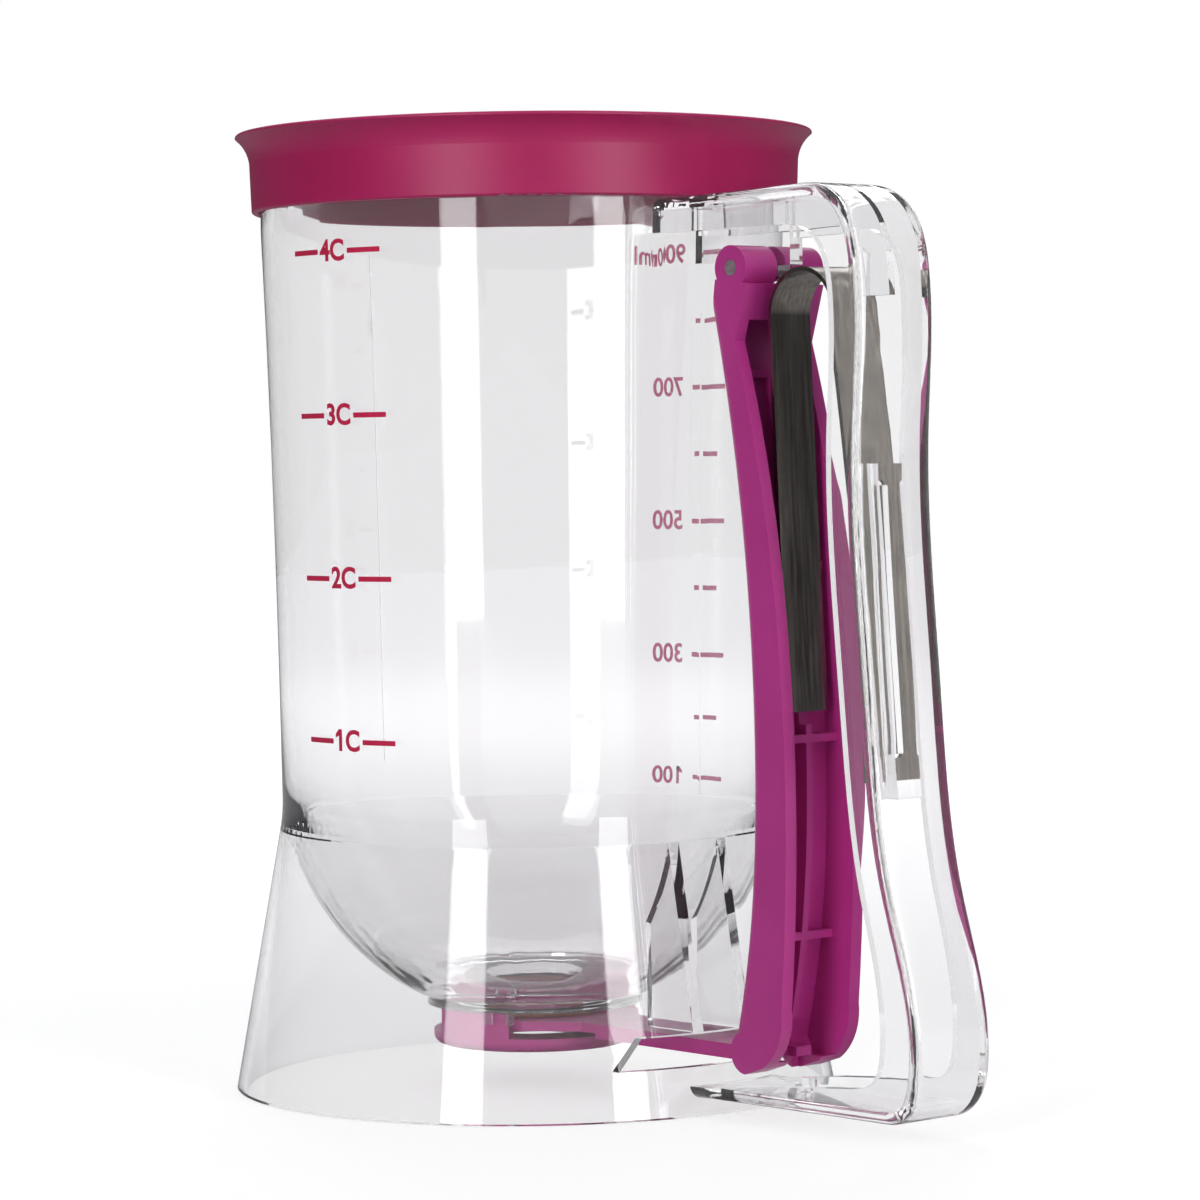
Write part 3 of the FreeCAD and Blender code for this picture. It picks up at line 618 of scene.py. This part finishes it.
def softbox(name, azimuth, distance, height, width, tall, radiance):
    """Upright soft lamp that faces the cup's axis. The azimuth is counted from the camera's side."""
    light = bpy.data.lights.new(name, "AREA")
    light.shape = "RECTANGLE"
    light.size = width
    light.size_y = tall
    light.energy = radiance * width * tall * math.pi
    lamp = bpy.data.objects.new(name, light)
    bpy.context.scene.collection.objects.link(lamp)
    angle = CAMERA_TURN - math.pi / 2 + math.radians(azimuth)
    spot = Vector((math.cos(angle) * distance, math.sin(angle) * distance, height))
    lamp.location = spot
    lamp.rotation_mode = "QUATERNION"
    lamp.rotation_quaternion = (Vector(LAMP_TARGET) - spot).to_track_quat("-Z", "Y")


def make_floor():
    """Pale paper that shows as plain white to the camera and keeps the object's shadow."""
    mesh = bpy.data.meshes.new("floor")
    half = FLOOR_HALF
    corners = [(-half, -half, 0.0), (half, -half, 0.0), (half, half, 0.0), (-half, half, 0.0)]
    mesh.from_pydata(corners, [], [(0, 1, 2, 3)])
    floor = bpy.data.objects.new("floor", mesh)
    bpy.context.scene.collection.objects.link(floor)
    floor.location.z = -FLOOR_DROP
    material, tree, shader = new_material("floor_paper")
    shader.inputs["Base Color"].default_value = FLOOR_GREY
    shader.inputs["Roughness"].default_value = FLOOR_ROUGHNESS
    place = tree.nodes.new("ShaderNodeTexCoord")
    away = tree.nodes.new("ShaderNodeVectorMath")
    away.operation = "LENGTH"
    tree.links.new(place.outputs["Object"], away.inputs[0])
    fade = tree.nodes.new("ShaderNodeMapRange")
    fade.inputs["From Min"].default_value = FLOOR_NEAR
    fade.inputs["From Max"].default_value = FLOOR_FAR
    fade.inputs["To Min"].default_value = FLOOR_GLOW_NEAR
    fade.inputs["To Max"].default_value = FLOOR_GLOW_FAR
    tree.links.new(away.outputs["Value"], fade.inputs["Value"])
    glow = tree.nodes.new("ShaderNodeEmission")
    tree.links.new(fade.outputs["Result"], glow.inputs["Strength"])
    matt = tree.nodes.new("ShaderNodeBsdfDiffuse")
    matt.inputs["Color"].default_value = FLOOR_MATT
    both = tree.nodes.new("ShaderNodeAddShader")
    tree.links.new(matt.outputs[0], both.inputs[0])
    tree.links.new(glow.outputs[0], both.inputs[1])
    path = tree.nodes.new("ShaderNodeLightPath")
    seen = tree.nodes.new("ShaderNodeMath")
    seen.operation = "MAXIMUM"
    tree.links.new(path.outputs["Is Camera Ray"], seen.inputs[0])
    tree.links.new(path.outputs["Is Transmission Ray"], seen.inputs[1])
    choice = tree.nodes.new("ShaderNodeMixShader")
    tree.links.new(seen.outputs[0], choice.inputs[0])
    tree.links.new(shader.outputs[0], choice.inputs[1])
    tree.links.new(both.outputs[0], choice.inputs[2])
    output = next(node for node in tree.nodes if node.type == "OUTPUT_MATERIAL")
    tree.links.new(choice.outputs[0], output.inputs["Surface"])
    mesh.materials.append(material)


def make_world():
    """White behind the object, and a dim room, lighter towards the ceiling, that lights it."""
    world = bpy.data.worlds.new("studio")
    world.use_nodes = True
    tree = world.node_tree
    tree.nodes.clear()
    output = tree.nodes.new("ShaderNodeOutputWorld")
    path = tree.nodes.new("ShaderNodeLightPath")
    seen = tree.nodes.new("ShaderNodeMath")
    seen.operation = "MAXIMUM"
    tree.links.new(path.outputs["Is Camera Ray"], seen.inputs[0])
    tree.links.new(path.outputs["Is Transmission Ray"], seen.inputs[1])
    white = tree.nodes.new("ShaderNodeBackground")
    white.inputs["Color"].default_value = (1.0, 1.0, 1.0, 1.0)
    place = tree.nodes.new("ShaderNodeTexCoord")
    split = tree.nodes.new("ShaderNodeSeparateXYZ")
    tree.links.new(place.outputs["Generated"], split.inputs[0])
    height = tree.nodes.new("ShaderNodeMapRange")
    height.inputs["From Min"].default_value = ROOM_LOWEST
    height.inputs["From Max"].default_value = ROOM_HIGHEST
    tree.links.new(split.outputs["Z"], height.inputs["Value"])
    room = tree.nodes.new("ShaderNodeBackground")
    tone = ramp(tree, height.outputs["Result"], ROOM_DARK, ROOM_LIGHT, start=0.3, end=0.95)
    tree.links.new(tone, room.inputs["Color"])
    choice = tree.nodes.new("ShaderNodeMixShader")
    tree.links.new(seen.outputs[0], choice.inputs[0])
    tree.links.new(room.outputs[0], choice.inputs[1])
    tree.links.new(white.outputs[0], choice.inputs[2])
    tree.links.new(choice.outputs[0], output.inputs["Surface"])
    bpy.context.scene.world = world


make_camera()
make_floor()
make_world()
for lamp_values in LAMPS:
    softbox(*lamp_values)
bpy.context.scene.view_settings.view_transform = "Standard"
bpy.context.scene.cycles.max_bounces = LIGHT_BOUNCES
bpy.context.scene.cycles.transmission_bounces = LIGHT_BOUNCES
bpy.context.scene.cycles.glossy_bounces = GLOSSY_BOUNCES
